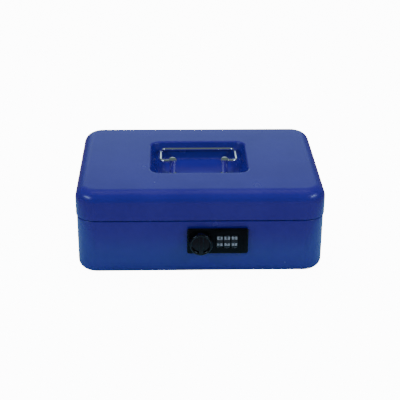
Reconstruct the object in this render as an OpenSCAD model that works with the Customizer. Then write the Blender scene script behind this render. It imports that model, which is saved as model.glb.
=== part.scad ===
// Cash box of pressed steel: a drawn base, an overlapping hinged lid with a
// sunk handle well, a combination latch in the front wall and a coin tray.
// Millimetres. Z is up, the front is towards -Y, and the origin is the centre
// of the base on the surface that it stands on.

/* [Body] */
// Width of the closed box over the lid
body_w = 250; // [200:5:300]
// Depth of the closed box over the lid, without knob and hinges
body_d = 180; // [160:5:240]
// Height of the closed box
body_h = 90; // [88:1:120]
// Thickness of the pressed steel sheet
sheet = 1.0; // [0.8:0.1:1.2]
// Corner radius of the lid seen from above
corner_r = 21; // [20:1:26]

/* [Lid] */
// Height of the lid, from its lower edge to its top
lid_h = 29.8; // [28:0.2:32]
// Radius of the edge between the lid's top and its skirt
lid_edge_r = 12; // [9:0.5:12]
// Step from the lid's skirt in to the base's wall
lid_overhang = 0.8; // [0.8:0.1:1.6]

/* [Base] */
// Radius of the edge between the base's floor and its walls
base_edge_r = 9; // [6:0.5:12]
// Height of the open seam between the lid and the base's shoulder
seam_gap = 1.0; // [0.8:0.1:1.8]
// Step from the base's wall in to its upright rim
rim_step = 1.2; // [1.1:0.1:1.6]
// Height of the rim over the shoulder, without its curl
rim_h = 6.6; // [5:0.2:8]
// Radius of the curl along the rim's upper edge
curl_r = 1.2; // [1.1:0.1:1.4]

/* [Handle well] */
// Width of the well at the lid's surface
well_w = 105; // [98:1:115]
// Depth of the well from front to back at the lid's surface
well_d = 87; // [82:0.5:90]
// How far the well's middle lies behind the lid's middle
well_y = 2; // [0:0.5:4]
// How far the well's floor lies under the lid's surface
well_sink = 18; // [17:0.5:19]
// Slope of the well's walls, from the horizontal
well_slope = 70; // [66:1:76]
// Corner radius of the well at the lid's surface
well_corner_r = 13; // [12.5:0.5:16]
// Radius of the well's upper edge
well_lip_r = 2.5; // [2.5:0.5:3.5]
// Radius between the well's walls and its floor
well_foot_r = 4.5; // [3:0.5:5]

/* [Handle] */
// Diameter of the handle's wire
wire_d = 3.2; // [2.8:0.1:3.6]
// Distance from the well's upper edge in to the handle's side wire
handle_inset = 12.5; // [9:0.5:14]
// How far the resting handle leans down towards the back, in degrees
handle_lean = 4.3; // [2:0.1:7]
// Radius of the handle's bends, at the middle of the wire
handle_bend_r = 5; // [3.5:0.5:7]
// Distance from the handle's side wire in to its post
post_inset = 12.5; // [11.5:0.5:16]
// Diameter of a post
post_d = 6.5; // [6:0.1:7]
// Diameter of a post's head
post_head_d = 8.4; // [8:0.1:9]
// Height of a post's domed head
post_head_h = 2.0; // [1.6:0.1:2.2]
// How far the handle's pivot lies under the lid's surface
pivot_sink = 4; // [3.8:0.1:5]

/* [Hinges] */
// Distance from the box's side in to the middle of each hinge
hinge_inset = 50; // [42:1:65]
// Length of a hinge
hinge_l = 40; // [30:1:50]
// Thickness of a hinge leaf
leaf_t = 1.0; // [0.8:0.1:1.2]
// Height of a hinge leaf on its wall
leaf_h = 13; // [10:0.5:15]
// Diameter of a hinge pin
hinge_pin_d = 2.4; // [2:0.1:2.6]
// Diameter of the rivets that hold the hinges
rivet_d = 3; // [2.4:0.2:3.4]
// Distance between the two rivets of a leaf
rivet_pitch = 24; // [16:1:28]

/* [Lock] */
// Width of the lock plate
plate_w = 61; // [60:0.5:66]
// Height of the lock plate
plate_h = 27.5; // [26:0.5:30]
// Thickness of the lock plate
plate_t = 4.5; // [4:0.1:5]
// Height of the lock's middle over the floor
lock_z = 38.3; // [36:0.1:41]
// Diameter of the knob
knob_d = 23; // [20:0.5:24]
// How far the knob stands out of the lock plate
knob_out = 7.2; // [6.6:0.2:10]
// Height of the knob's finger rib over its dished face
rib_h = 2.6; // [2:0.2:3]
// Distance from the knob's middle to the first dial
first_dial_x = 18.8; // [18.6:0.2:22]
// Distance from one dial to the next
dial_pitch = 7.3; // [7.2:0.1:8]
// Diameter of a dial
dial_d = 22; // [21:0.5:22]
// Width of a dial
dial_w = 6.0; // [5.4:0.1:6]
// How far the dials stand out of the lock plate
dial_out = 1.8; // [1:0.1:2.4]

/* [Coin tray] */
// Height of the tray under its flange
tray_h = 27; // [20:1:32]
// Thickness of the tray's walls
tray_t = 1.8; // [1.6:0.1:2.4]
// Number of scooped cups in the front row
front_cups = 5; // [3:1:6]
// Number of flat compartments in the back row
back_cups = 3; // [2:1:4]
// Gap from the lock's cover back to the tray
tray_setback = 4.5; // [4:0.5:12]

/* [Hidden] */

$fn = 64;
eps = 0.01;            // overlap that makes a cut pass right through
run_gap = 0.05;        // radial running clearance of shafts and pins
part_gap = 0.3;        // clearance between parts that pass each other

// Levels of the closed box
lid_low_z = body_h - lid_h;
shoulder_z = lid_low_z - seam_gap;
rim_top_z = shoulder_z + rim_h;
curl_top_z = rim_top_z + curl_r;
floor_z = body_h - well_sink;

// Half sizes of the base and its corner radius
base_x = body_w / 2 - lid_overhang;
base_y = body_d / 2 - lid_overhang;
base_r = corner_r - lid_overhang;
wall_y = base_y - sheet;

// The well's wall in section: two arcs joined by a straight slope
well_rise = (well_lip_r + well_foot_r) * (1 - cos(well_slope));
well_side = (well_sink - well_rise) / sin(well_slope);
well_run = (well_lip_r + well_foot_r) * sin(well_slope) + well_side * cos(well_slope);

// The handle leans back on the well's rear wall
handle_w = well_w - 2 * handle_inset;
post_pitch = handle_w - 2 * post_inset;
post_foot_r = post_d / 2 - 1;
wire_r = wire_d / 2;
pivot_z = body_h - pivot_sink;
slope_y = well_y + well_d / 2 - well_lip_r * sin(well_slope);
slope_z = body_h - well_lip_r * (1 - cos(well_slope));
rest_gap = 0.15;       // paint and play between the resting grip and the wall
handle_reach = (slope_y * sin(well_slope) + (pivot_z - slope_z) * cos(well_slope)
                - wire_r - rest_gap) / sin(handle_lean + well_slope);

// Hinge barrel, just behind the lid and level with the seam
hinge_x = body_w / 2 - hinge_inset;
knuckle_r = hinge_pin_d / 2 + run_gap + leaf_t;
barrel_y = body_d / 2 + part_gap + knuckle_r;
barrel_z = lid_low_z - seam_gap / 2 - 0.2;
knuckle_gap = 0.2;     // side play between knuckles
lid_knuckle_l = hinge_l * 0.4;
pin_head_t = 0.8;
rivet_head_t = 1.1;
rivet_foot_t = 0.8;
base_leaf_top = barrel_z - knuckle_r - 0.4;
lid_leaf_low = barrel_z + knuckle_r + part_gap + 0.2;

// Lock, from the plate's face inwards
plate_y = -base_y;
face_y = plate_y - plate_t;
plate_left = -13.7;    // the plate's left edge, measured from the knob
plate_r = 2;
dial_r = dial_d / 2;
dial_y = face_y - dial_out + dial_r;
last_dial_x = first_dial_x + 2 * dial_pitch;
window_h = 15;
window_skin = 0.8;     // thickness of the plate's face round the windows
slot_gap = 0.2;        // side play of a dial in its slot
digits = 10;
groove_r = 0.8;
axle_r = 2;
case_h = 24;
case_left = -12;
case_right = last_dial_x + 8.6;
dial_case_x = first_dial_x - 4.6;
case_back_y = dial_y + dial_r + 1.3;
bearing_back_y = -wall_y + 10;
cover_t = 1.5;
hub_r = 4;
spindle_r = 2;
cam_t = 1.5;
cam_y = bearing_back_y + 0.6;
cam_reach = 12.8;
cam_half_w = 3.5;
cam_nose_t = 3.5;
cam_nose_l = 9;
nut_t = 2.2;
nut_r = 4;
screw_r = 1.25;
screw_in = 3;          // from the housing's edge to a screw's middle
screw_dz = 9;          // from the lock's middle up or down to a screw
screw_spots = [[case_left + screw_in, lock_z - screw_dz],
               [-case_left - screw_in, lock_z - screw_dz],
               [case_right - screw_in, lock_z + screw_dz],
               [case_right - screw_in, lock_z - screw_dz]];

// Catch on the lid
catch_t = 1.2;
catch_y = cam_y + 0.3;
foot_top_z = lock_z + cam_reach - cam_nose_t - 0.4;
foot_t = 3;
catch_leg_w = 6;
catch_flange = 12;

// Coin tray
tray_play = 1.0;       // gap from the tray's wall to the rim's curl
flange_t = 1.5;
tray_x = base_x - rim_step - 2 * curl_r - tray_play;
tray_back = base_y - rim_step - 2 * curl_r - tray_play;
tray_r = base_r - rim_step - 2 * curl_r - tray_play;
tray_top_z = curl_top_z + part_gap;
tray_floor_z = tray_top_z - tray_h;
tray_front = -(case_back_y + cover_t + tray_setback);
divider_y = (tray_back - tray_front) / 2;
divider_drop = 2;      // the dividers stop this far under the flange

paint = [0.09, 0.22, 0.58];
chrome = [0.85, 0.86, 0.88];
steel = [0.62, 0.63, 0.66];
black = [0.06, 0.06, 0.07];
tray_grey = [0.16, 0.16, 0.17];

// ---------------------------------------------------------------- helpers

// Sweeps a section round a rounded rectangle. The section is drawn with its
// x measured outwards from the corner's centre, and y upwards.
module round_sweep(half_x, half_y, r) {
    cx = half_x - r;
    cy = half_y - r;
    for (q = [[1, 1, 0], [-1, 1, 90], [-1, -1, 180], [1, -1, 270]])
        translate([q[0] * cx, q[1] * cy, 0])
            rotate([0, 0, q[2]])
                rotate_extrude(angle = 90)
                    children();
    for (s = [1, -1]) {
        translate([s * cx, s * cy, 0])
            rotate([90, 0, s * 90 - 90])
                linear_extrude(height = 2 * cy)
                    children();
        translate([-s * cx, s * cy, 0])
            rotate([90, 0, s * 90])
                linear_extrude(height = 2 * cx)
                    children();
    }
}

// Rounded rectangle, filled, with exact corners
module round_rect(half_x, half_y, r) {
    square([2 * half_x, 2 * (half_y - r)], center = true);
    square([2 * (half_x - r), 2 * half_y], center = true);
    for (x = [-1, 1], y = [-1, 1])
        translate([x * (half_x - r), y * (half_y - r)])
            circle(r = r);
}

module round_plate(half_x, half_y, r, t) {
    linear_extrude(height = t)
        round_rect(half_x, half_y, r);
}

// Bent strip in section: part of a ring from angle a0 to a1, under 180 degrees
module bend(r_out, t, a0, a1) {
    reach = 2 * r_out;
    mid = (a0 + a1) / 2;
    intersection() {
        difference() {
            circle(r = r_out);
            if (r_out - t > 0)
                circle(r = r_out - t);
        }
        polygon([[0, 0], reach * [cos(a0), sin(a0)],
                 1.5 * reach * [cos(mid), sin(mid)], reach * [cos(a1), sin(a1)]]);
    }
}

// Cylinder along X between two places
module rod_x(x0, x1, r) {
    translate([x0, 0, 0])
        rotate([0, 90, 0])
            cylinder(h = x1 - x0, r = r);
}

// Cylinder along Y between two places
module rod_y(y0, y1, r) {
    translate([0, y0, 0])
        rotate([-90, 0, 0])
            cylinder(h = y1 - y0, r = r);
}

// Block between two corners
module block(a, b) {
    translate(a)
        cube(b - a);
}

// ---------------------------------------------------------------- base

// Section of the base's wall: floor edge, wall, shoulder, rim and its curl
module base_section() {
    translate([base_r - base_edge_r, base_edge_r])
        bend(base_edge_r, sheet, -90, 0);
    translate([base_r - sheet, base_edge_r])
        square([sheet, shoulder_z - rim_step - base_edge_r]);
    translate([base_r - rim_step, shoulder_z - rim_step])
        bend(rim_step, sheet, 0, 90);
    translate([base_r - rim_step - sheet, shoulder_z - sheet])
        square([sheet, rim_top_z - shoulder_z + sheet]);
    translate([base_r - rim_step - curl_r, rim_top_z])
        circle(r = curl_r);
}

module base_shell() {
    color(paint)
        difference() {
            union() {
                round_sweep(base_x, base_y, base_r)
                    base_section();
                round_plate(base_x - base_edge_r, base_y - base_edge_r,
                            base_r - base_edge_r, sheet);
            }
            lock_cutout();
            rivet_holes(base_y, base_leaf_top - leaf_h / 2);
        }
}

// Two holes behind each hinge leaf for its rivets
module rivet_holes(wall, z) {
    for (side = [-1, 1], x = [-1, 1])
        translate([side * hinge_x + x * rivet_pitch / 2, 0, z])
            rod_y(wall - 3, wall + 3, rivet_d / 2 + 0.02);
}

// Opening in the front wall for the lock's dials, knob hub and screws
module lock_cutout() {
    block([first_dial_x - dial_w / 2 - 0.4, -base_y - 1, lock_z - dial_r - 0.4],
          [last_dial_x + dial_w / 2 + 0.4, -wall_y + 1, lock_z + dial_r + 0.4]);
    translate([0, 0, lock_z])
        rod_y(-base_y - 1, -wall_y + 1, hub_r + part_gap);
    for (s = screw_spots)
        translate([s[0], 0, s[1]])
            rod_y(-base_y - 1, -wall_y + 1, screw_r + 0.2);
}

// ---------------------------------------------------------------- lid

// Section of the lid's skirt with its rounded lower edge and upper bend
module lid_section() {
    translate([corner_r - sheet / 2, lid_low_z + sheet / 2])
        circle(r = sheet / 2);
    translate([corner_r - sheet, lid_low_z + sheet / 2])
        square([sheet, lid_h - lid_edge_r - sheet / 2]);
    translate([corner_r - lid_edge_r, body_h - lid_edge_r])
        bend(lid_edge_r, sheet, 0, 90);
}

// Section of the well's wall, from the lid's surface down to the well's floor
module well_section() {
    translate([well_corner_r, body_h - well_lip_r])
        bend(well_lip_r, sheet, 90, 90 + well_slope);
    translate([well_corner_r, body_h - well_lip_r])
        rotate(90 + well_slope)
            translate([well_lip_r - sheet * 0.75, -sheet / 4])
                square(sheet / 2);
    translate([well_corner_r - well_lip_r * sin(well_slope),
               body_h - well_lip_r * (1 - cos(well_slope))])
        rotate(well_slope - 180)
            square([well_side, sheet]);
    translate([well_corner_r - well_run, floor_z + well_foot_r])
        rotate(well_slope - 90)
            translate([well_foot_r + sheet * 0.25, -sheet / 4])
                square(sheet / 2);
    translate([well_corner_r - well_run, floor_z + well_foot_r])
        bend(well_foot_r + sheet, sheet, -90, well_slope - 90);
}

module lid_shell() {
    color(paint)
        difference() {
            union() {
                round_sweep(body_w / 2, body_d / 2, corner_r)
                    lid_section();
                translate([0, 0, body_h - sheet])
                    linear_extrude(height = sheet)
                        difference() {
                            round_rect(body_w / 2 - lid_edge_r, body_d / 2 - lid_edge_r,
                                       corner_r - lid_edge_r);
                            translate([0, well_y])
                                round_rect(well_w / 2, well_d / 2, well_corner_r);
                        }
                translate([0, well_y, 0])
                    round_sweep(well_w / 2, well_d / 2, well_corner_r)
                        well_section();
                translate([0, well_y, floor_z - sheet])
                    round_plate(well_w / 2 - well_run, well_d / 2 - well_run,
                                well_corner_r - well_run, sheet);
            }
            for (s = [-1, 1])
                translate([s * post_pitch / 2, 0, floor_z - sheet - 1])
                    cylinder(h = sheet + 2, r = post_foot_r + run_gap);
            rivet_holes(body_d / 2, lid_leaf_low + leaf_h / 2);
        }
}

// ---------------------------------------------------------------- handle

// One post: foot through the floor, shaft, cross hole for the wire, domed head
module post(side) {
    dome_r = (pow(post_head_d / 2, 2) + pow(post_head_h, 2)) / (2 * post_head_h);
    head_z = body_h - post_head_h;
    color(chrome)
        translate([side * post_pitch / 2, 0, 0])
            difference() {
                union() {
                    translate([0, 0, floor_z - sheet - 1.6])
                        cylinder(h = sheet + 1.6 + eps, r = post_foot_r);
                    translate([0, 0, floor_z])
                        cylinder(h = head_z - floor_z, r = post_d / 2);
                    translate([0, 0, floor_z])
                        cylinder(h = 1, r = post_head_d / 2 - 0.3);
                    intersection() {
                        translate([0, 0, body_h - dome_r])
                            sphere(r = dome_r);
                        translate([0, 0, head_z])
                            cylinder(h = post_head_h + 1, r = post_head_d / 2);
                    }
                }
                translate([0, 0, pivot_z])
                    rod_x(-post_d, post_d, wire_r + run_gap);
            }
}

// Spring washers that hold the posts from below
module post_washers() {
    color(steel)
        for (s = [-1, 1])
            translate([s * post_pitch / 2, 0, floor_z - sheet - 0.8])
                difference() {
                    cylinder(h = 0.8, r = post_head_d / 2 + 1);
                    translate([0, 0, -1])
                        cylinder(h = 3, r = post_foot_r + 0.02);
                }
}

// A quarter bend of the wire, turning from +X to +Y about its own centre
module wire_bend() {
    rotate_extrude(angle = 90)
        translate([handle_bend_r, 0])
            circle(r = wire_r);
}

// The handle lying in the XY plane, with the pivot on the X axis
module flat_handle() {
    side_x = handle_w / 2;
    inner_x = post_pitch / 2 - post_d / 2 - 0.8;
    for (m = [0, 1])
        mirror([m, 0, 0]) {
            rod_x(inner_x, side_x - handle_bend_r, wire_r);
            translate([side_x - handle_bend_r, handle_bend_r, 0])
                rotate([0, 0, -90])
                    wire_bend();
            translate([side_x, 0, 0])
                rod_y(handle_bend_r, handle_reach - handle_bend_r, wire_r);
            translate([side_x - handle_bend_r, handle_reach - handle_bend_r, 0])
                wire_bend();
        }
    translate([0, handle_reach, 0])
        rod_x(handle_bend_r - side_x, side_x - handle_bend_r, wire_r);
}

module handle() {
    color(chrome)
        translate([0, 0, pivot_z])
            rotate([-handle_lean, 0, 0])
                flat_handle();
}

// ---------------------------------------------------------------- hinges

// Section of a leaf's knuckle with its neck: y is measured from the barrel
module knuckle_section(wall, up) {
    difference() {
        union() {
            circle(r = knuckle_r);
            polygon([[wall, 0], [0, 0], [0, up * knuckle_r],
                     [wall + leaf_t, up * (knuckle_r + 1.2)],
                     [wall, up * (knuckle_r + 1.2)]]);
        }
        circle(r = hinge_pin_d / 2 + run_gap);
    }
}

// A leaf drawn in section and carried along X between two places
module along_x(x0, x1) {
    translate([x0, barrel_y, barrel_z])
        rotate([90, 0, 90])
            linear_extrude(height = x1 - x0)
                children();
}

module base_leaf(side) {
    half = hinge_l / 2;
    mid = lid_knuckle_l / 2 + knuckle_gap;
    wall = base_y - barrel_y;
    color(paint)
        difference() {
            translate([side * hinge_x, 0, 0]) {
                for (x = [-half, mid])
                    along_x(x, x + half - mid)
                        difference() {
                            knuckle_section(wall, -1);
                            translate([wall, shoulder_z - rim_step - barrel_z])
                                square([body_d / 2 - base_y + part_gap / 2, 9]);
                        }
                along_x(-half, half)
                    translate([wall, base_leaf_top - leaf_h - barrel_z])
                        square([leaf_t, leaf_h]);
            }
            rivet_holes(base_y, base_leaf_top - leaf_h / 2);
        }
}

module lid_leaf(side) {
    half = hinge_l / 2;
    mid = lid_knuckle_l / 2;
    wall = body_d / 2 - barrel_y;
    color(paint)
        difference() {
            translate([side * hinge_x, 0, 0]) {
                along_x(-mid, mid)
                    knuckle_section(wall, 1);
                along_x(-half, half)
                    translate([wall, lid_leaf_low - barrel_z])
                        square([leaf_t, leaf_h]);
            }
            rivet_holes(body_d / 2, lid_leaf_low + leaf_h / 2);
        }
}

// Two rivets through a leaf and its wall, with a domed head and a flat foot
module rivets(side, wall, z) {
    head_r = rivet_d * 0.95;
    dome_r = (pow(head_r, 2) + pow(rivet_head_t, 2)) / (2 * rivet_head_t);
    color(steel)
        for (x = [-1, 1])
            translate([side * hinge_x + x * rivet_pitch / 2, 0, z]) {
                rod_y(wall - sheet - rivet_foot_t, wall - sheet, head_r);
                rod_y(wall - sheet - eps, wall + leaf_t + eps, rivet_d / 2);
                intersection() {
                    translate([0, wall + leaf_t + rivet_head_t - dome_r, 0])
                        sphere(r = dome_r);
                    rod_y(wall + leaf_t, wall + leaf_t + rivet_head_t + 1, head_r);
                }
            }
}

module hinge_pin(side) {
    half = hinge_l / 2;
    color(steel)
        translate([side * hinge_x, barrel_y, barrel_z]) {
            rod_x(-half - 0.1, half + 0.1, hinge_pin_d / 2);
            rod_x(-half - 0.1 - pin_head_t, -half - 0.1, knuckle_r - 0.4);
            rod_x(half + 0.1, half + 0.1 + pin_head_t, knuckle_r - 0.4);
        }
}

// ---------------------------------------------------------------- lock

module lock_plate() {
    mid_x = plate_left + plate_w / 2;
    color(black)
        difference() {
            translate([mid_x, plate_y, lock_z])
                rotate([90, 0, 0]) {
                    round_plate(plate_w / 2, plate_h / 2, plate_r, plate_t - 0.6);
                    round_plate(plate_w / 2 - 0.6, plate_h / 2 - 0.6, plate_r - 0.6, plate_t);
                }
            for (i = [0:2])
                block([first_dial_x + i * dial_pitch - dial_w / 2 - 0.2, face_y - 1,
                       lock_z - window_h / 2],
                      [first_dial_x + i * dial_pitch + dial_w / 2 + 0.2, plate_y + 1,
                       lock_z + window_h / 2]);
            block([first_dial_x - dial_w / 2 - 0.2, face_y + window_skin,
                   lock_z - dial_r - 0.3],
                  [last_dial_x + dial_w / 2 + 0.2, plate_y + 1, lock_z + dial_r + 0.3]);
            translate([0, 0, lock_z])
                rod_y(face_y - 1, plate_y + 1, hub_r + run_gap);
            for (s = screw_spots)
                translate([s[0], 0, s[1]])
                    rod_y(plate_y - plate_t + 1.2, plate_y + 1, screw_r);
        }
}

module lock_housing() {
    color(black)
        difference() {
            union() {
                block([case_left, -wall_y, lock_z - case_h / 2],
                      [dial_case_x, bearing_back_y, lock_z + case_h / 2]);
                block([dial_case_x - eps, -wall_y, lock_z - case_h / 2],
                      [case_right, case_back_y, lock_z + case_h / 2]);
            }
            for (i = [0:2])
                block([first_dial_x + i * dial_pitch - dial_w / 2 - 0.2, -wall_y - 1,
                       lock_z - dial_r - 0.3],
                      [first_dial_x + i * dial_pitch + dial_w / 2 + 0.2, case_back_y + 1,
                       lock_z + dial_r + 0.3]);
            translate([0, 0, lock_z])
                rod_y(-wall_y - 1, bearing_back_y + 1, hub_r + run_gap);
            translate([0, dial_y, lock_z])
                rod_x(dial_case_x + 1, case_right - 1, axle_r);
            for (s = screw_spots)
                translate([s[0], 0, s[1]])
                    rod_y(-wall_y - 1, case_back_y + 1, screw_r + 0.2);
        }
}

module lock_cover() {
    color(black)
        difference() {
            block([dial_case_x, case_back_y, lock_z - case_h / 2],
                  [case_right, case_back_y + cover_t, lock_z + case_h / 2]);
            for (i = [2, 3])
                translate([screw_spots[i][0], 0, screw_spots[i][1]])
                    rod_y(case_back_y - 1, case_back_y + cover_t + 1, screw_r + 0.2);
        }
}

// Four screws that pull the housing and the plate together through the wall
module lock_screws() {
    color(steel)
        for (i = [0:3]) {
            seat = i < 2 ? bearing_back_y : case_back_y + cover_t;
            translate([screw_spots[i][0], 0, screw_spots[i][1]]) {
                rod_y(plate_y - plate_t + 1.3, seat + eps, screw_r - 0.02);
                difference() {
                    rod_y(seat, seat + 1.6, 2.3);
                    block([-2.4, seat + 0.8, -0.3], [2.4, seat + 2, 0.3]);
                    block([-0.3, seat + 0.8, -2.4], [0.3, seat + 2, 2.4]);
                }
            }
        }
}

module dial_axle() {
    color(steel)
        translate([0, dial_y, lock_z])
            rod_x(dial_case_x + 1, case_right - 1, axle_r - 0.01);
}

// Leaf springs behind the dials, one finger for each
module detent_spring() {
    color(steel)
        union() {
            for (i = [0:2])
                block([first_dial_x + i * dial_pitch - 2, case_back_y - 0.4, lock_z - 8],
                      [first_dial_x + i * dial_pitch + 2, case_back_y, lock_z + 8]);
        }
}

// One number wheel, with a finger groove between each two digits
module dial(i) {
    color(black)
        translate([first_dial_x + (i - 1) * dial_pitch, dial_y, lock_z])
            difference() {
                rod_x(-dial_w / 2, dial_w / 2, dial_r);
                rod_x(-dial_w, dial_w, axle_r + run_gap);
                for (k = [0:digits - 1])
                    rotate([k * 360 / digits, 0, 0])
                        translate([0, -dial_r - groove_r * 0.3, 0])
                            rod_x(-dial_w, dial_w, groove_r);
            }
}

// Turning knob: a drum whose face is dished on both sides of a finger rib
module knob() {
    r = knob_d / 2;
    front_y = face_y - part_gap - knob_out + rib_h;
    rib_w = 5;
    color(black)
        translate([0, 0, lock_z])
            difference() {
                union() {
                    rod_y(front_y - rib_h + 1, face_y - part_gap, r);
                    translate([0, front_y - rib_h + 1, 0])
                        rotate([90, 0, 0])
                            cylinder(h = 1, r1 = r, r2 = r - 1);
                    rod_y(face_y - part_gap - eps, bearing_back_y, hub_r);
                }
                for (s = [-1, 1])
                    intersection() {
                        translate([s * (rib_w / 2 + 20), front_y - 4, 0])
                            rotate([90, 0, 0])
                                translate([0, 0, -4])
                                    cylinder(h = 10, r = 20);
                        rod_y(front_y - rib_h - 1, front_y, r - 1.4);
                    }
                rod_y(face_y - knob_out + rib_h + 2, bearing_back_y + 1, spindle_r + 0.02);
            }
}

module knob_spindle() {
    color(steel)
        translate([0, 0, lock_z])
            rod_y(face_y - knob_out + rib_h + 2.1, cam_y + cam_t + nut_t + 0.8, spindle_r);
}

// Cam on the spindle's end. At rest it points sideways, clear of the catch.
module latch_cam() {
    color(steel)
        translate([0, cam_y, lock_z])
            rotate([90, 0, 0])
                translate([0, 0, -cam_t])
                    linear_extrude(height = cam_t)
                        difference() {
                            union() {
                                circle(r = 5);
                                translate([0, -cam_half_w])
                                    square([cam_reach, 2 * cam_half_w]);
                                translate([cam_reach - cam_nose_t, 0])
                                    square([cam_nose_t, cam_nose_l]);
                            }
                            circle(r = spindle_r + 0.02);
                        }
}

module cam_nut() {
    color(steel)
        translate([0, cam_y + cam_t, lock_z])
            rotate([-90, 0, 0])
                difference() {
                    cylinder(h = nut_t, r = nut_r, $fn = 6);
                    translate([0, 0, -1])
                        cylinder(h = nut_t + 2, r = spindle_r + 0.02);
                }
}

// Hook under the lid: a flange on the lid's underside, a leg and a foot
module catch_hook() {
    leg_x = -cam_nose_l - 1;
    top_z = body_h - sheet;
    color(steel) {
        block([leg_x - catch_leg_w, catch_y, foot_top_z - foot_t],
              [leg_x, catch_y + catch_t, top_z]);
        block([leg_x - eps, catch_y, foot_top_z - foot_t],
              [-cam_half_w - 0.7, catch_y + catch_t, foot_top_z]);
        block([leg_x - catch_leg_w - 4, catch_y, top_z - catch_t],
              [leg_x + 4, catch_y + catch_flange, top_z]);
    }
}

// ---------------------------------------------------------------- coin tray

// Outline of the tray's wall in plan, shrunk inwards by t
module tray_outline(t) {
    intersection() {
        round_rect(tray_x - t, tray_back - t, tray_r - t);
        translate([-body_w, -tray_front + t])
            square([2 * body_w, body_d]);
    }
}

// Flange that lies on the rim's curl at the sides and the back
module tray_flange() {
    difference() {
        intersection() {
            round_rect(base_x - rim_step - 0.2, base_y - rim_step - 0.2,
                       base_r - rim_step - 0.2);
            translate([-body_w, -tray_front])
                square([2 * body_w, body_d]);
        }
        tray_outline(tray_t);
    }
}

module coin_tray() {
    top_z = tray_top_z - divider_drop;
    cup_w = (2 * (tray_x - tray_t) - (front_cups - 1) * tray_t) / front_cups;
    bay_w = (2 * (tray_x - tray_t) - (back_cups - 1) * tray_t) / back_cups;
    left = -tray_x + tray_t;
    color(tray_grey) {
        translate([0, 0, tray_floor_z])
            linear_extrude(height = tray_t)
                tray_outline(0);
        translate([0, 0, tray_floor_z])
            linear_extrude(height = tray_h + flange_t)
                difference() {
                    tray_outline(0);
                    tray_outline(tray_t);
                }
        translate([0, 0, tray_top_z])
            linear_extrude(height = flange_t)
                tray_flange();
        block([left - eps, divider_y - tray_t / 2, tray_floor_z + tray_t - eps],
              [-left + eps, divider_y + tray_t / 2, top_z]);
        for (i = [1:front_cups - 1])
            block([left + i * (cup_w + tray_t) - tray_t, -tray_front + tray_t - eps,
                   tray_floor_z + tray_t - eps],
                  [left + i * (cup_w + tray_t), divider_y, top_z]);
        for (i = [1:back_cups - 1])
            block([left + i * (bay_w + tray_t) - tray_t, divider_y,
                   tray_floor_z + tray_t - eps],
                  [left + i * (bay_w + tray_t), tray_back - tray_t + eps, top_z]);
    }
}

// ---------------------------------------------------------------- nodes

base_shell();
lid_shell();
coin_tray();
handle();
post(-1);  // post_left
post(1);  // post_right
post_washers();
base_leaf(-1);  // left_base_leaf
base_leaf(1);  // right_base_leaf
lid_leaf(-1);  // left_lid_leaf
lid_leaf(1);  // right_lid_leaf
hinge_pin(-1);  // left_hinge_pin
hinge_pin(1);  // right_hinge_pin
rivets(-1, base_y, base_leaf_top - leaf_h / 2);  // left_base_rivets
rivets(1, base_y, base_leaf_top - leaf_h / 2);  // right_base_rivets
rivets(-1, body_d / 2, lid_leaf_low + leaf_h / 2);  // left_lid_rivets
rivets(1, body_d / 2, lid_leaf_low + leaf_h / 2);  // right_lid_rivets
catch_hook();
lock_plate();
lock_housing();
lock_cover();
lock_screws();
dial_axle();
detent_spring();
dial(1);  // dial_1
dial(2);  // dial_2
dial(3);  // dial_3
knob();
knob_spindle();
latch_cam();
cam_nut();
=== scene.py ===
# A blue steel cash box with a sunk carry handle and a number lock. The sections
# follow the box as it is put together: stage, base, hinges, lid, posts, handle,
# lock plate, knob, number wheels, inner lock and coin tray.
import math
import bpy
from mathutils import Euler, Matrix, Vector


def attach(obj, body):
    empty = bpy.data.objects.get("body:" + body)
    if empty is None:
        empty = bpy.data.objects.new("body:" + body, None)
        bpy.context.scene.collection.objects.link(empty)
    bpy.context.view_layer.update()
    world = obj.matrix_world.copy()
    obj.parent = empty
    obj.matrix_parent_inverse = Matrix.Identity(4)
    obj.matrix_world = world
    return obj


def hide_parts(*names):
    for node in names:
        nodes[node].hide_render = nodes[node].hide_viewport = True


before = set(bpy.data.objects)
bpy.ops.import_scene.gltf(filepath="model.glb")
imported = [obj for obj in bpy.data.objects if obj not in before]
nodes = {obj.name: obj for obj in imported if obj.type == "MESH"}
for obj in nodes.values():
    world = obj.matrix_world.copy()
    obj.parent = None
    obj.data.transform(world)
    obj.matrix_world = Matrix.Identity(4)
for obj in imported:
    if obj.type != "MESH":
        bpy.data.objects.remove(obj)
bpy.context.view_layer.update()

# --- Stage -------------------------------------------------------------------
# The box stands on a plain pale floor under large soft lamps, seen from the
# front, a little from the left and about 25 degrees above the horizon.
mm = 0.001
eye = Vector((-0.0303, -1.0293, 0.5291))
aim = Vector((0.0017, 0.0, 0.0401))
bpy.ops.object.camera_add(location=eye)
camera = bpy.context.object
camera.data.lens = 95.5
camera.data.sensor_width = 36
camera.data.clip_end = 20
look = (aim - eye).to_track_quat("-Z", "Y").to_matrix().to_4x4()
camera.matrix_world = look @ Euler((0, 0, math.radians(0.41))).to_matrix().to_4x4()
camera.matrix_world.translation = eye
bpy.context.scene.camera = camera

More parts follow.
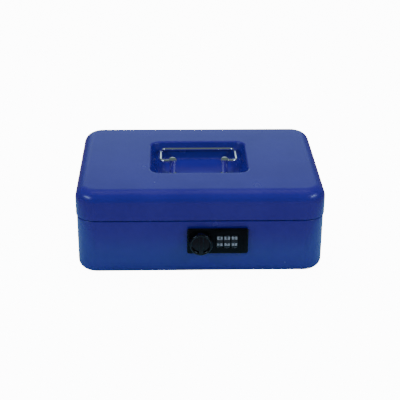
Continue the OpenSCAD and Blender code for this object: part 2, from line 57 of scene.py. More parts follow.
# In the box's own reflections the floor shows a painted reflection: a light teal near the box and dark
# further out.
bpy.ops.mesh.primitive_plane_add(size=9, location=(0, 0, 0))
floor = bpy.context.object
floor.name = "studio_floor"
floor_paint = bpy.data.materials.new("floor_paint")
floor_paint.use_nodes = True
floor_tree = floor_paint.node_tree
floor_shader = floor_tree.nodes["Principled BSDF"]
floor_shader.inputs["Roughness"].default_value = 0.9
floor_shader.inputs["Specular IOR Level"].default_value = 0.0
floor_shader.inputs["Emission Color"].default_value = (1, 1, 1, 1)
floor_seen = floor_tree.nodes.new("ShaderNodeLightPath")
floor_glow = floor_tree.nodes.new("ShaderNodeMath")
floor_glow.operation = "MULTIPLY"
floor_glow.inputs[1].default_value = 12.0
floor_tree.links.new(floor_seen.outputs["Is Camera Ray"], floor_glow.inputs[0])
floor_tree.links.new(floor_glow.outputs["Value"], floor_shader.inputs["Emission Strength"])
floor_place = floor_tree.nodes.new("ShaderNodeTexCoord")
floor_steps = (("ABSOLUTE", None), ("SUBTRACT", (0.12, 0.08, 0)), ("MAXIMUM", (0, 0, 0)),
               ("MULTIPLY", (0.6, 1, 0)))
floor_spot = floor_place.outputs["Object"]
for operation, value in floor_steps:
    floor_step = floor_tree.nodes.new("ShaderNodeVectorMath")
    floor_step.operation = operation
    floor_tree.links.new(floor_spot, floor_step.inputs[0])
    if value:
        floor_step.inputs[1].default_value = value
    floor_spot = floor_step.outputs["Vector"]
floor_far = floor_tree.nodes.new("ShaderNodeVectorMath")
floor_far.operation = "LENGTH"
floor_tree.links.new(floor_spot, floor_far.inputs[0])
floor_fade = floor_tree.nodes.new("ShaderNodeMapRange")
floor_fade.interpolation_type = "SMOOTHSTEP"
floor_fade.inputs["From Min"].default_value = 0.05
floor_fade.inputs["From Max"].default_value = 0.105
floor_tree.links.new(floor_far.outputs["Value"], floor_fade.inputs["Value"])
# The painted reflection's colours: light teal near the box, dark further out.
floor_painted_reflection = floor_tree.nodes.new("ShaderNodeValToRGB")
floor_painted_reflection.color_ramp.elements[0].color = (0.42, 0.85, 1.0, 1)
floor_painted_reflection.color_ramp.elements[1].color = (0.23, 0.17, 0.22, 1)
floor_tree.links.new(floor_fade.outputs["Result"], floor_painted_reflection.inputs["Fac"])
# Glossy rays see the painted reflection, all other rays the pale floor.
floor_tone = floor_tree.nodes.new("ShaderNodeMix")
floor_tone.data_type = "RGBA"
floor_tone.inputs[6].default_value = (0.93, 0.93, 0.94, 1)
floor_tree.links.new(floor_seen.outputs["Is Glossy Ray"], floor_tone.inputs[0])
floor_tree.links.new(floor_painted_reflection.outputs["Color"], floor_tone.inputs[7])
floor_tree.links.new(floor_tone.outputs[2], floor_shader.inputs["Base Color"])
floor.data.materials.append(floor_paint)


def hang_lamp(name, place, size_x, size_y, power, colour):
    bpy.ops.object.light_add(type="AREA", location=place)
    lamp = bpy.context.object
    lamp.name = name
    lamp.data.shape = "RECTANGLE"
    lamp.data.size = size_x
    lamp.data.size_y = size_y
    lamp.data.energy = power
    lamp.data.color = colour
    lamp.rotation_euler = (Vector((0, 0, 0.04)) - Vector(place)).to_track_quat("-Z", "Y").to_euler()
    return lamp


lamp_above = hang_lamp("lamp_above", (0.0, 0.25, 1.6), 1.2, 0.9, 19, (1, 1, 1))
lamp_above.visible_glossy = False
hang_lamp("lamp_left", (-1.5, -1.0, 1.3), 1.2, 0.4, 15, (0.5, 0.7, 1.0))
hang_lamp("lamp_right", (1.5, -1.0, 1.3), 1.2, 0.4, 15, (0.5, 0.7, 1.0))

# The room is brightest low down behind the box, where a backdrop would stand.
studio = bpy.data.worlds.new("studio")
bpy.context.scene.world = studio
studio.use_nodes = True
studio_tree = studio.node_tree
studio_place = studio_tree.nodes.new("ShaderNodeTexCoord")
studio_axes = studio_tree.nodes.new("ShaderNodeSeparateXYZ")
studio_tree.links.new(studio_place.outputs["Generated"], studio_axes.inputs["Vector"])
studio_back = studio_tree.nodes.new("ShaderNodeMapRange")
studio_back.interpolation_type = "SMOOTHSTEP"
studio_back.inputs["From Min"].default_value = 0.45
studio_back.inputs["From Max"].default_value = 0.9
studio_tree.links.new(studio_axes.outputs["Y"], studio_back.inputs["Value"])
studio_aside = studio_tree.nodes.new("ShaderNodeMath")
studio_aside.operation = "ABSOLUTE"
studio_tree.links.new(studio_axes.outputs["X"], studio_aside.inputs[0])
studio_middle = studio_tree.nodes.new("ShaderNodeMapRange")
studio_middle.interpolation_type = "SMOOTHSTEP"
studio_middle.inputs["From Min"].default_value = 0.4
studio_middle.inputs["From Max"].default_value = 0.12
studio_tree.links.new(studio_aside.outputs["Value"], studio_middle.inputs["Value"])
studio_spot = studio_tree.nodes.new("ShaderNodeMath")
studio_spot.operation = "MULTIPLY"
studio_tree.links.new(studio_back.outputs["Result"], studio_spot.inputs[0])
studio_tree.links.new(studio_middle.outputs["Result"], studio_spot.inputs[1])
studio_low = studio_tree.nodes.new("ShaderNodeMapRange")
studio_low.interpolation_type = "SMOOTHSTEP"
studio_low.inputs["From Min"].default_value = 0.15
studio_low.inputs["From Max"].default_value = 0.46
studio_low.inputs["To Min"].default_value = 1.15
studio_low.inputs["To Max"].default_value = 0.2
studio_tree.links.new(studio_axes.outputs["Z"], studio_low.inputs["Value"])
studio_sum = studio_tree.nodes.new("ShaderNodeMath")
studio_sum.operation = "MULTIPLY_ADD"
studio_sum.inputs[2].default_value = 0.15
studio_tree.links.new(studio_spot.outputs["Value"], studio_sum.inputs[0])
studio_tree.links.new(studio_low.outputs["Result"], studio_sum.inputs[1])
studio_tree.links.new(studio_sum.outputs["Value"], studio_tree.nodes["Background"].inputs["Strength"])
studio_tree.nodes["Background"].inputs["Color"].default_value = (0.64, 0.95, 1.0, 1)

# --- Base shell ----------------------------------------------------------------
# The lower half is one deep drawing of steel sheet with a joggled shoulder under
# the lid and a curled rim, stove enamelled inside and out in bright blue.
sheet = 1.0 * mm
corner_steps = 18


def arc_points(centre, radius, start, end, steps):
    points = []
    for i in range(steps + 1):
        a = math.radians(start + (end - start) * i / steps)
        points.append((centre[0] + radius * math.cos(a), centre[1] + radius * math.sin(a)))
    return points


def draw_section(name, points, base_x, base_y):
    # A vertex is pushed along the section's points with extrude, as by hand.
    bpy.ops.object.select_all(action="DESELECT")
    bpy.ops.mesh.primitive_plane_add(size=mm, location=(0, 0, 0))
    piece = bpy.context.object
    piece.name = name
    bpy.ops.object.mode_set(mode="EDIT")
    bpy.ops.mesh.select_mode(type="VERT")
    bpy.ops.mesh.select_all(action="SELECT")
    bpy.ops.mesh.merge(type="CENTER")
    x, z = points[0]
    bpy.ops.transform.translate(value=(base_x + x, base_y, z))
    for x_next, z_next in points[1:]:
        step = (x_next - x, 0, z_next - z)
        bpy.ops.mesh.extrude_region_move(TRANSFORM_OT_translate={"value": step})
        x, z = x_next, z_next
    return piece


def sweep_round(name, points, half_x, half_y, radius):
    # The section turns round each corner and runs straight along each side.
    cx, cy = half_x - radius, half_y - radius
    piece = draw_section(name, points, cx, cy)
    bpy.ops.mesh.select_all(action="SELECT")
    corners = [(cx, cy), (-cx, cy), (-cx, -cy), (cx, -cy)]
    runs = [(-2 * cx, 0), (0, -2 * cy), (2 * cx, 0), (0, 2 * cy)]
    for corner, run in zip(corners, runs):
        bpy.ops.mesh.spin(steps=corner_steps, angle=-math.pi / 2,
                          center=(corner[0], corner[1], 0), axis=(0, 0, 1))
        bpy.ops.mesh.extrude_region_move(TRANSFORM_OT_translate={"value": (run[0], run[1], 0)})
    bpy.ops.mesh.select_all(action="SELECT")
    bpy.ops.mesh.remove_doubles(threshold=0.00001)
    bpy.ops.mesh.select_all(action="DESELECT")
    bpy.ops.object.mode_set(mode="OBJECT")
    return piece


def pick_edges(piece, wanted):
    # Selects the edges that pass a test of the edge and its two ends.
    bpy.ops.object.mode_set(mode="OBJECT")
    for part in (piece.data.vertices, piece.data.edges, piece.data.polygons):
        for item in part:
            item.select = False
    for edge in piece.data.edges:
        a, b = (piece.data.vertices[i].co for i in edge.vertices)
        edge.select = wanted(edge, a, b)
    bpy.ops.object.mode_set(mode="EDIT")
    bpy.ops.mesh.select_mode(type="EDGE")


def open_loops(piece, low, high):
    # Selects the open edges whose middles lie between two heights.
    bpy.ops.object.mode_set(mode="OBJECT")
    uses = {}
    for face in piece.data.polygons:
        for key in face.edge_keys:
            uses[key] = uses.get(key, 0) + 1
    pick_edges(piece, lambda edge, a, b: uses.get(tuple(sorted(edge.vertices)), 0) == 1
               and low < (a.z + b.z) / 2 < high)


def finish_mesh(piece, angle=32):
    # Faces are turned outwards and shaded smooth, with flat panels kept flat.
    bpy.ops.object.mode_set(mode="OBJECT")
    bpy.ops.object.select_all(action="DESELECT")
    bpy.context.view_layer.objects.active = piece
    piece.select_set(True)
    bpy.ops.object.mode_set(mode="EDIT")
    bpy.ops.mesh.select_all(action="SELECT")
    bpy.ops.mesh.remove_doubles(threshold=0.000004)
    bpy.ops.mesh.normals_make_consistent(inside=False)
    bpy.ops.object.mode_set(mode="OBJECT")
    bpy.ops.object.transform_apply(location=True, rotation=True, scale=True)
    bpy.ops.object.shade_smooth_by_angle(angle=math.radians(angle))
    even = piece.modifiers.new("even_normals", "WEIGHTED_NORMAL")
    even.keep_sharp = True
    even.weight = 90
    bpy.ops.object.modifier_apply(modifier=even.name)


base_x, base_y, base_r = 124.2 * mm, 89.2 * mm, 20.2 * mm
base_edge_r = 9 * mm
shoulder_z, shoulder_r = 59.2 * mm, 1.2 * mm
rim_z, rim_step, curl_r = 65.8 * mm, 1.2 * mm, 1.2 * mm
floor_turn = (base_r - base_edge_r, base_edge_r)
shoulder_turn = (base_r - shoulder_r, shoulder_z - shoulder_r)
rim_inside = base_r - rim_step - sheet
base_section = arc_points(floor_turn, base_edge_r, -90, 0, 12)
base_section += arc_points(shoulder_turn, shoulder_r, 0, 90, 6)
base_section += arc_points((base_r - rim_step - curl_r, rim_z), curl_r, 0, 270, 18)
base_section += [(rim_inside, rim_z - curl_r - 0.2 * mm), (rim_inside, shoulder_z - sheet)]
base_section += arc_points(shoulder_turn, shoulder_r - sheet, 90, 0, 2)
base_section += arc_points(floor_turn, base_edge_r - sheet, 0, -90, 12)
base_body = sweep_round("base_body", base_section, base_x, base_y, base_r)
for floor_face in (0, sheet):
    open_loops(base_body, floor_face - sheet / 2, floor_face + sheet / 2)
    bpy.ops.mesh.edge_face_add()
bpy.ops.mesh.select_all(action="DESELECT")
bpy.ops.object.mode_set(mode="OBJECT")



def cut_box(piece, low, high, bevel=0.0, segments=3, bevel_edges="ALL"):
    # Cuts a block, given in millimetres, out of a piece, with its edges rounded
    # first where asked.
    bpy.ops.object.mode_set(mode="OBJECT")
    bpy.ops.object.select_all(action="DESELECT")
    middle = [(a + b) / 2 * mm for a, b in zip(low, high)]
    size = [(b - a) * mm for a, b in zip(low, high)]
    bpy.ops.mesh.primitive_cube_add(size=1, location=middle, scale=size)
    block = bpy.context.object
    if bevel:
        for edge in block.data.edges:
            a, b = (block.data.vertices[i].co for i in edge.vertices)
            along = (a - b).normalized()
            edge.select = bevel_edges == "ALL" or abs(along["XYZ".index(bevel_edges)]) > 0.9
        bpy.ops.object.transform_apply(location=True, rotation=True, scale=True)
        bpy.ops.object.mode_set(mode="EDIT")
        bpy.ops.mesh.bevel(offset=bevel * mm, segments=segments, affect="EDGES")
        bpy.ops.object.mode_set(mode="OBJECT")
    cut_with(piece, block)


def cut_with(piece, block, operation="DIFFERENCE"):
    bpy.ops.object.select_all(action="DESELECT")
    bpy.context.view_layer.objects.active = piece
    piece.select_set(True)
    cut = piece.modifiers.new("cut", "BOOLEAN")
    cut.object = block
    cut.operation = operation
    cut.solver = "EXACT"
    bpy.ops.object.modifier_apply(modifier=cut.name)
    bpy.data.objects.remove(block, do_unlink=True)


def bore(piece, place, radius, length, axis):
    # Drills a round hole, given in millimetres, through a piece along X or Y.
    bpy.ops.object.select_all(action="DESELECT")
    bpy.ops.mesh.primitive_cylinder_add(vertices=64, radius=radius * mm, depth=length * mm,
                                        location=[value * mm for value in place],
                                        rotation=(0, math.pi / 2, 0) if axis == "X" else (math.pi / 2, 0, 0))
    cut_with(piece, bpy.context.object)


def tint_group():
    # Shared by every finish: a cloudy tone, an uneven gloss and a fine relief.
    group = bpy.data.node_groups.new("surface_play", "ShaderNodeTree")
    for name in ("Cloud Scale", "Grain Scale", "Gloss Low", "Gloss High", "Relief"):
        group.interface.new_socket(name=name, in_out="INPUT", socket_type="NodeSocketFloat")
    group.interface.new_socket(name="Tone", in_out="OUTPUT", socket_type="NodeSocketFloat")
    group.interface.new_socket(name="Roughness", in_out="OUTPUT", socket_type="NodeSocketFloat")
    group.interface.new_socket(name="Normal", in_out="OUTPUT", socket_type="NodeSocketVector")
    entry = group.nodes.new("NodeGroupInput")
    leave = group.nodes.new("NodeGroupOutput")
    place = group.nodes.new("ShaderNodeTexCoord")
    cloud = group.nodes.new("ShaderNodeTexNoise")
    cloud.inputs["Detail"].default_value = 4
    group.links.new(place.outputs["Object"], cloud.inputs["Vector"])
    group.links.new(entry.outputs["Cloud Scale"], cloud.inputs["Scale"])
    group.links.new(cloud.outputs["Fac"], leave.inputs["Tone"])
    dull = group.nodes.new("ShaderNodeMapRange")
    dull.inputs["From Min"].default_value = 0.3
    dull.inputs["From Max"].default_value = 0.7
    group.links.new(entry.outputs["Gloss Low"], dull.inputs["To Min"])
    group.links.new(entry.outputs["Gloss High"], dull.inputs["To Max"])
    group.links.new(cloud.outputs["Fac"], dull.inputs["Value"])
    group.links.new(dull.outputs["Result"], leave.inputs["Roughness"])
    grain = group.nodes.new("ShaderNodeTexNoise")
    grain.inputs["Detail"].default_value = 2
    group.links.new(place.outputs["Object"], grain.inputs["Vector"])
    group.links.new(entry.outputs["Grain Scale"], grain.inputs["Scale"])
    relief = group.nodes.new("ShaderNodeBump")
    relief.inputs["Strength"].default_value = 0.25
    group.links.new(entry.outputs["Relief"], relief.inputs["Distance"])
    group.links.new(grain.outputs["Fac"], relief.inputs["Height"])
    group.links.new(relief.outputs["Normal"], leave.inputs["Normal"])
    return group


surface_play = tint_group()


def finish(name, dark, light, cloud_scale, grain_scale, gloss, relief, metallic=0.0, specular=0.5):
    # One finish: its tone goes from dark to light with the clouds of the group.
    skin = bpy.data.materials.new(name)
    skin.use_nodes = True
    tree = skin.node_tree
    shader = tree.nodes["Principled BSDF"]
    shader.inputs["Metallic"].default_value = metallic
    shader.inputs["Specular IOR Level"].default_value = specular
    play = tree.nodes.new("ShaderNodeGroup")
    play.node_tree = surface_play
    play.inputs["Cloud Scale"].default_value = cloud_scale
    play.inputs["Grain Scale"].default_value = grain_scale
    play.inputs["Gloss Low"].default_value = gloss[0]
    play.inputs["Gloss High"].default_value = gloss[1]
    play.inputs["Relief"].default_value = relief
    shade = tree.nodes.new("ShaderNodeValToRGB")
    shade.color_ramp.elements[0].position = 0.3
    shade.color_ramp.elements[1].position = 0.7
    shade.color_ramp.elements[0].color = (*dark, 1)
    shade.color_ramp.elements[1].color = (*light, 1)
    tree.links.new(play.outputs["Tone"], shade.inputs["Fac"])
    tree.links.new(shade.outputs["Color"], shader.inputs["Base Color"])
    tree.links.new(play.outputs["Roughness"], shader.inputs["Roughness"])
    tree.links.new(play.outputs["Normal"], shader.inputs["Normal"])
    return skin


def put_on(piece, skin, body, slot_name, *replaced):
    # The piece takes its finish, moves with its body and stands for its CAD nodes.
    piece.data.materials.clear()
    piece.data.materials.append(skin)
    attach(piece, body)
    if replaced:
        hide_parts(*replaced)


def soften(node, name, bevel, segments=2, angle=30):
    # A merged copy of a CAD node with small rounded edges, as pressed or moulded.
    bpy.ops.object.select_all(action="DESELECT")
    bpy.ops.mesh.primitive_plane_add(size=mm, location=(0, 0, 0))
    piece = bpy.context.object
    piece.name = name
    piece.data = nodes[node].data.copy()
    piece.data.name = name
    bpy.ops.object.mode_set(mode="EDIT")
    bpy.ops.mesh.select_mode(type="VERT")
    bpy.ops.mesh.select_all(action="SELECT")
    bpy.ops.mesh.remove_doubles(threshold=0.000002)
    bpy.ops.mesh.dissolve_limited(angle_limit=math.radians(1.5))
    bpy.ops.object.mode_set(mode="OBJECT")
    edge = piece.modifiers.new("edge", "BEVEL")
    edge.width = bevel * mm
    edge.segments = segments
    edge.limit_method = "ANGLE"
    edge.angle_limit = math.radians(angle)
    bpy.ops.object.modifier_apply(modifier=edge.name)
    finish_mesh(piece, angle)
    return piece


blue_enamel = finish("blue_enamel", (0.0255, 0.0145, 0.235), (0.028, 0.0165, 0.26), 26, 900,
                     (0.2, 0.28), 0.00006)
# The front wall is pierced for the wheels' case and for the knob's spindle. The
# lock's own sizes and places are plain millimetres from here on.
lock_z = 38.3
wheel_places = (18.8, 26.1, 33.4)
case_side, case_up = 3.4, 11.4
spindle_hole_r = 2.3
finish_mesh(base_body)
cut_box(base_body, (wheel_places[0] - case_side, -92, lock_z - case_up),
        (wheel_places[-1] + case_side, -86, lock_z + case_up))
bore(base_body, (0, -89, lock_z), spindle_hole_r, 8, "Y")
finish_mesh(base_body)
put_on(base_body, blue_enamel, "base", "paint", "base_shell")

# --- Hinges --------------------------------------------------------------------
# Two hinges behind the lid: leaves rolled round a pin and riveted to the walls,
# enamelled with the box. The pins and rivets are bright zinc plate.
zinc = finish("zinc_plate", (0.42, 0.43, 0.45), (0.66, 0.67, 0.68), 420, 900, (0.28, 0.45), 0.00003, 1.0)
for side in ("left", "right"):
    put_on(soften(side + "_base_leaf", side + "_lower_leaf", 0.2), blue_enamel, "base", "paint",
           side + "_base_leaf")
    put_on(soften(side + "_lid_leaf", side + "_upper_leaf", 0.2), blue_enamel, "lid", "paint",
           side + "_lid_leaf")
    put_on(soften(side + "_hinge_pin", side + "_pin", 0.15), zinc, "base", "steel", side + "_hinge_pin")
    put_on(soften(side + "_base_rivets", side + "_lower_rivets", 0.1), zinc, "base", "steel",
           side + "_base_rivets")
    put_on(soften(side + "_lid_rivets", side + "_upper_rivets", 0.1), zinc, "lid", "steel",
           side + "_lid_rivets")

# --- Lid ---------------------------------------------------------------------
# The lid is drawn from the same sheet: a wide rounded edge, a skirt that hides the
# base's rim, and a sunk well with sloping walls that takes the folded handle.
lid_x, lid_y, lid_r = 125 * mm, 90 * mm, 21 * mm
top_z, lid_low_z = 90 * mm, 60.2 * mm
edge_r = 12 * mm
edge_turn = (lid_r - edge_r, top_z - edge_r)
lid_section = arc_points(edge_turn, edge_r, 90, 0, 16)
lid_section += arc_points((lid_r - sheet / 2, lid_low_z + sheet / 2), sheet / 2, 0, -180, 8)
lid_section += arc_points(edge_turn, edge_r - sheet, 0, 90, 16)
lid_body = sweep_round("lid_body", lid_section, lid_x, lid_y, lid_r)

slope = 70
well_x, well_y, well_r = 52.5 * mm, 43.5 * mm, 13 * mm
well_sink, well_shift = 18 * mm, 2 * mm
lip_r, foot_r = 2.5 * mm, 4.5 * mm
floor_z = top_z - well_sink
turned = math.radians(slope)
drop = (lip_r + foot_r) * (1 - math.cos(turned))
slope_length = (well_sink - drop) / math.sin(turned)
run = (lip_r + foot_r) * math.sin(turned) + slope_length * math.cos(turned)
lip_turn, foot_turn = (well_r, top_z - lip_r), (well_r - run, floor_z + foot_r)
wells = []
for name, depth in (("well_top", 0), ("well_under", sheet)):
    well_section = arc_points(lip_turn, lip_r - depth, 90, 90 + slope, 9)
    well_section += arc_points(foot_turn, foot_r + depth, slope - 90, -90, 9)
    well = sweep_round(name, well_section, well_x, well_y, well_r)
    open_loops(well, floor_z - depth - 0.2 * mm, floor_z - depth + 0.2 * mm)
    bpy.ops.mesh.edge_face_add()
    bpy.ops.object.mode_set(mode="OBJECT")
    wells.append(well)
bpy.ops.object.select_all(action="DESELECT")
for well in wells:
    well.select_set(True)
bpy.ops.transform.translate(value=(0, well_shift, 0))
lid_body.select_set(True)
bpy.context.view_layer.objects.active = lid_body
bpy.ops.object.join()
for depth in (0, sheet):
    open_loops(lid_body, top_z - depth - 0.2 * mm, top_z - depth + 0.2 * mm)
    bpy.ops.mesh.fill(use_beauty=True)
finish_mesh(lid_body)
put_on(lid_body, blue_enamel, "lid", "paint", "lid_shell")

# --- Posts ---------------------------------------------------------------------
# Two chromed rivets stand in the well. The wire turns in a cross hole under each
# domed head, and a zinc washer holds each foot from below.
chrome = finish("bright_chrome", (0.97, 0.88, 0.86), (1.0, 0.93, 0.91), 160, 1200, (0.05, 0.12),
                0.00001, 1.0)
head_r, head_h, post_r, flange_r = 4.2 * mm, 2 * mm, 3.25 * mm, 3.9 * mm
wire_r, pivot_z, post_x = 1.6 * mm, 86 * mm, 27.5 * mm
neck_z, flange_z = top_z - head_h, floor_z + 1 * mm
foot_z = floor_z + 0.02 * mm
dome_r = (head_r ** 2 + head_h ** 2) / (2 * head_h)
dome_turn = math.degrees(math.asin(head_r / dome_r))
post_section = arc_points((0, top_z - dome_r), dome_r, 90, 90 - dome_turn, 10)
post_section += [(head_r, neck_z - 0.1 * mm), (post_r, neck_z - 0.3 * mm)]
post_section += [(post_r, flange_z + 0.3 * mm), (flange_r - 0.3 * mm, flange_z)]
post_section += [(flange_r, flange_z - 0.3 * mm), (flange_r, foot_z), (0, foot_z)]
for node, x in (("post_left", -post_x), ("post_right", post_x)):
    post = draw_section("rivet_" + node, post_section, x, 0)
    bpy.ops.mesh.select_all(action="SELECT")
    bpy.ops.mesh.spin(steps=40, angle=2 * math.pi, center=(x, 0, 0), axis=(0, 0, 1))
    finish_mesh(post, 40)
    bore(post, (x / mm, 0, pivot_z / mm), wire_r / mm + 0.15, 10, "X")
    finish_mesh(post, 40)
    put_on(post, chrome, "lid", "chrome", node)
put_on(soften("post_washers", "spring_washers", 0.15), zinc, "lid", "steel", "post_washers")

# --- Handle --------------------------------------------------------------------
# A chromed wire bail whose ends turn inwards into the posts. It lies folded to
# the back, and its grip leans on the well's rear wall.
bend_r, reach, side_x = 5 * mm, 39.4655 * mm, 40 * mm
inner_x = 23.45 * mm
lean = 4.3
bpy.ops.object.select_all(action="DESELECT")
bpy.ops.mesh.primitive_circle_add(vertices=28, radius=wire_r, fill_type="NGON",
                                  location=(-inner_x, 0, pivot_z), rotation=(0, math.pi / 2, 0))
bail = bpy.context.object
bail.name = "carry_bail"
bpy.ops.object.transform_apply(location=True, rotation=True, scale=True)
bpy.ops.object.mode_set(mode="EDIT")
bpy.ops.mesh.select_all(action="SELECT")
straight = side_x - bend_r
leg = reach - 2 * bend_r


def run_wire(step):
    bpy.ops.mesh.extrude_region_move(TRANSFORM_OT_translate={"value": step})


def bend_wire(centre):
    bpy.ops.mesh.spin(steps=12, angle=math.pi / 2, center=centre, axis=(0, 0, 1))


run_wire((inner_x - straight, 0, 0))
bend_wire((-straight, bend_r, pivot_z))
run_wire((0, leg, 0))
bend_wire((-straight, reach - bend_r, pivot_z))
run_wire((2 * straight, 0, 0))
bend_wire((straight, reach - bend_r, pivot_z))
run_wire((0, -leg, 0))
bend_wire((straight, bend_r, pivot_z))
run_wire((inner_x - straight, 0, 0))
bpy.ops.mesh.select_all(action="SELECT")
bpy.ops.mesh.remove_doubles(threshold=0.00001)
bpy.ops.transform.rotate(value=math.radians(lean), orient_axis="X", center_override=(0, 0, pivot_z))
finish_mesh(bail)
put_on(bail, chrome, "handle", "chrome", "handle")

# --- Lock plate ----------------------------------------------------------------
# A moulded black plate that four screws pull against the front wall from inside.
# The knob turns at its left, and three number wheels show in windows at its right.
face_y = -93.7
plate_w, plate_t, plate_h, plate_middle = 61, 4.5, 27.5, 16.8
plate_skin, pocket_side, pocket_up = 0.8, 3.2, 11.3
window_side, window_low, window_high = 3.2, 6.4, 7.5
wheel_y, wheel_room_r = -84.5, 11.4
lock_black = finish("lock_black", (0.0025, 0.0025, 0.003), (0.0035, 0.0035, 0.0045), 60, 1400,
                    (0.26, 0.36), 0.00004, 0.0, 0.12)
bpy.ops.object.select_all(action="DESELECT")
bpy.ops.mesh.primitive_cube_add(size=1, scale=(plate_w * mm, plate_t * mm, plate_h * mm),
                                location=(plate_middle * mm, (face_y + plate_t / 2) * mm, lock_z * mm))
plate = bpy.context.object
plate.name = "lock_face"
bpy.ops.object.transform_apply(location=True, rotation=True, scale=True)
pick_edges(plate, lambda edge, a, b: abs(a.y - b.y) > mm)
bpy.ops.mesh.bevel(offset=2 * mm, segments=8, affect="EDGES")
pick_edges(plate, lambda edge, a, b: max(a.y, b.y) < (face_y + 0.01) * mm)
bpy.ops.mesh.bevel(offset=0.8 * mm, segments=4, affect="EDGES")
bpy.ops.object.mode_set(mode="OBJECT")
# The back is hollow behind the windows, so that the wheels turn clear of it.
cut_box(plate, (wheel_places[0] - pocket_side, face_y + plate_skin, lock_z - pocket_up),
        (wheel_places[-1] + pocket_side, -88, lock_z + pocket_up))
for wheel_x in wheel_places:
    cut_box(plate, (wheel_x - window_side, -95, lock_z - window_low),
            (wheel_x + window_side, -90, lock_z + window_high), 0.5, 3, "Y")
    bore(plate, (wheel_x, wheel_y, lock_z), wheel_room_r, 2 * window_side, "X")
bore(plate, (0, -91.5, lock_z), spindle_hole_r, 8, "Y")
finish_mesh(plate, 30)
put_on(plate, lock_black, "base", "lock_black", "lock_plate")

# --- Knob ----------------------------------------------------------------------
# The knob is one moulding in glossy black plastic, pushed on the spindle: a drum
# with a rounded rim, a dished face and a rib across the dish for the fingers.
knob_black = finish("knob_black", (0.0025, 0.0025, 0.003), (0.0035, 0.0035, 0.0045), 60, 1400,
                    (0.14, 0.2), 0.00002, 0.0, 0.4)
knob_r, knob_rim, dish = 11.5 * mm, 2.4 * mm, 2.6 * mm
knob_z = lock_z * mm
back_y, front_y = face_y * mm - 0.3 * mm, face_y * mm - 7.5 * mm
bpy.ops.object.select_all(action="DESELECT")
bpy.ops.mesh.primitive_cylinder_add(vertices=72, radius=knob_r, depth=back_y - front_y,
                                    location=(0, (back_y + front_y) / 2, knob_z),
                                    rotation=(math.pi / 2, 0, 0))
knob = bpy.context.object
knob.name = "turn_knob"
bpy.ops.object.transform_apply(location=True, rotation=True, scale=True)
for item in list(knob.data.vertices) + list(knob.data.edges) + list(knob.data.polygons):
    item.select = False
front = min(knob.data.polygons, key=lambda f: f.center.y)
front.select = True
bpy.ops.object.mode_set(mode="EDIT")
bpy.ops.mesh.select_mode(type="FACE")
bpy.ops.mesh.inset(thickness=knob_rim)
bpy.ops.mesh.inset(thickness=0.5 * mm, depth=-dish)


def on_rim(edge, a, b):
    # The two round edges of the knob's flat front rim.
    from_axis = [math.hypot(end.x, end.z - knob_z) for end in (a, b)]
    in_front = max(abs(end.y - front_y) for end in (a, b)) < 1e-6
    around = abs(from_axis[0] - from_axis[1]) < 1e-6
    return in_front and around and from_axis[0] > knob_r - knob_rim - 0.2 * mm


pick_edges(knob, on_rim)
bpy.ops.mesh.bevel(offset=1.1 * mm, segments=6, affect="EDGES")
bpy.ops.object.mode_set(mode="OBJECT")
bpy.ops.object.select_all(action="DESELECT")
bpy.ops.mesh.primitive_cube_add(size=1, location=(0, front_y + 2.0 * mm, knob_z),
                                scale=(5 * mm, 3.8 * mm, 20.6 * mm))
rib = bpy.context.object
bpy.ops.object.transform_apply(location=True, rotation=True, scale=True)
bpy.ops.object.mode_set(mode="EDIT")
bpy.ops.mesh.select_all(action="SELECT")
bpy.ops.mesh.bevel(offset=0.9 * mm, segments=4, affect="EDGES")
bpy.ops.object.mode_set(mode="OBJECT")
cut_with(knob, rib, "UNION")
finish_mesh(knob, 30)
put_on(knob, knob_black, "knob", "lock_black", "knob")

# --- Number wheels --------------------------------------------------------------
# Each wheel is a black moulding with ten light tiles that carry its printed
# digits. The wheels rest between two digits, so two of them show on each.
tile_grey = finish("tile_grey", (0.26, 0.27, 0.28), (0.31, 0.32, 0.34), 90, 1200, (0.45, 0.58), 0.00002)
ink_black = finish("ink_black", (0.010, 0.010, 0.012), (0.014, 0.014, 0.017), 90, 1500,
                   (0.5, 0.62), 0.00002)
wheel_r, wheel_w, axle_hole_r = 11 * mm, 6 * mm, 2.15
tile_w, tile_t, tile_h = 5.4 * mm, 0.5 * mm, 3.1 * mm
tile_turn = 36
rest_turn = -12


def wind_round(angle, axis_place):
    # Turns what is active about the wheel's axis, to its place on the rim.
    bpy.ops.object.mode_set(mode="EDIT")
    bpy.ops.mesh.select_all(action="SELECT")
    bpy.ops.transform.rotate(value=math.radians(angle), orient_axis="X", center_override=axis_place)
    bpy.ops.object.mode_set(mode="OBJECT")


def make_tile(axis_place):
    bpy.ops.object.select_all(action="DESELECT")
    place = (axis_place[0], axis_place[1] - wheel_r + 0.2 * mm, axis_place[2])
    bpy.ops.mesh.primitive_cube_add(size=1, location=place, scale=(tile_w, tile_t, tile_h))
    bpy.ops.object.transform_apply(location=True, rotation=True, scale=True)
    bpy.ops.object.mode_set(mode="EDIT")
    bpy.ops.mesh.select_all(action="SELECT")
    bpy.ops.mesh.bevel(offset=0.18 * mm, segments=2, affect="EDGES")
    bpy.context.object.data.materials.append(tile_grey)
    return bpy.context.object


def make_digit(number, axis_place):
    bpy.ops.object.text_add(location=(0, 0, 0))
    digit = bpy.context.object
    digit.data.body = str(number)
    digit.data.align_x = "CENTER"
    digit.data.align_y = "CENTER"
    digit.data.size = 3.9 * mm
    digit.data.offset = 0.1 * mm
    digit.data.extrude = 0.12 * mm
    digit.data.resolution_u = 3
    digit.rotation_euler = (math.pi / 2, 0, 0)
    digit.location = (axis_place[0], axis_place[1] - wheel_r - 0.02 * mm, axis_place[2])
    bpy.ops.object.convert(target="MESH")
    bpy.ops.object.transform_apply(location=True, rotation=True, scale=True)
    bpy.context.object.data.materials.clear()
    bpy.context.object.data.materials.append(ink_black)
    return bpy.context.object


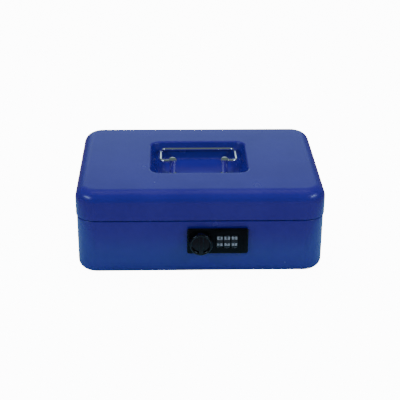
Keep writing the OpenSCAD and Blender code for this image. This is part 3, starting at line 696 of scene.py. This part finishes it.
for wheel, (wheel_x, first_digit) in enumerate(zip(wheel_places, (3, 7, 1)), start=1):
    axis_place = (wheel_x * mm, wheel_y * mm, lock_z * mm)
    bpy.ops.object.select_all(action="DESELECT")
    bpy.ops.mesh.primitive_cylinder_add(vertices=80, radius=wheel_r - 0.25 * mm, depth=wheel_w,
                                        location=axis_place, rotation=(0, math.pi / 2, 0))
    drum = bpy.context.object
    drum.name = "number_wheel_%d" % wheel
    bpy.ops.object.transform_apply(location=True, rotation=True, scale=True)
    bpy.ops.object.mode_set(mode="EDIT")
    bpy.ops.mesh.select_all(action="SELECT")
    bpy.ops.mesh.bevel(offset=0.25 * mm, segments=2, affect="EDGES", clamp_overlap=True)
    bpy.ops.object.mode_set(mode="OBJECT")
    bore(drum, (wheel_x, wheel_y, lock_z), axle_hole_r, 8, "X")
    finish_mesh(drum, 30)
    put_on(drum, ink_black, "dial_%d" % wheel, "dial_plastic", "dial_%d" % wheel)
    tiles = []
    for step in range(10):
        tiles.append(make_tile(axis_place))
        wind_round(tile_turn * step + rest_turn, axis_place)
        tiles.append(make_digit((first_digit + step) % 10, axis_place))
        wind_round(tile_turn * step + rest_turn, axis_place)
    bpy.ops.object.select_all(action="DESELECT")
    for tile in tiles:
        tile.select_set(True)
    bpy.context.view_layer.objects.active = tiles[0]
    bpy.ops.object.join()
    tiles[0].name = "wheel_tiles_%d" % wheel
    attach(tiles[0], "dial_%d" % wheel)

# --- Inner lock ----------------------------------------------------------------
# Behind the wall: the housing and its cover in the plate's black plastic, and the
# axle, detent springs, spindle, cam, nut and screws in zinc plate. The hook that
# the cam catches hangs under the lid.
put_on(soften("lock_housing", "wheel_housing", 0.35), lock_black, "base", "lock_black", "lock_housing")
put_on(soften("lock_cover", "housing_cover", 0.2), lock_black, "base", "lock_black", "lock_cover")
put_on(soften("lock_screws", "plate_screws", 0.1), zinc, "base", "steel", "lock_screws")
put_on(soften("dial_axle", "wheel_axle", 0.2), zinc, "base", "steel", "dial_axle")
put_on(soften("detent_spring", "detent_leaves", 0.05), zinc, "base", "steel", "detent_spring")
put_on(soften("knob_spindle", "turn_spindle", 0.2), zinc, "knob", "steel", "knob_spindle")
put_on(soften("latch_cam", "latch_lever", 0.2), zinc, "knob", "steel", "latch_cam")
put_on(soften("cam_nut", "lever_nut", 0.2), zinc, "knob", "steel", "cam_nut")
put_on(soften("catch_hook", "lid_hook", 0.2), zinc, "lid", "steel", "catch_hook")

# --- Coin tray -----------------------------------------------------------------
# A loose tray with five coin cups and three note bays, moulded in one piece in
# black plastic. Its flange hangs on the base's rim, so it lifts straight out.
tray_black = finish("tray_black", (0.010, 0.010, 0.012), (0.014, 0.014, 0.017), 40, 700,
                    (0.42, 0.56), 0.00008)
put_on(soften("coin_tray", "cash_tray", 0.5, 3), tray_black, "tray", "tray_plastic", "coin_tray")
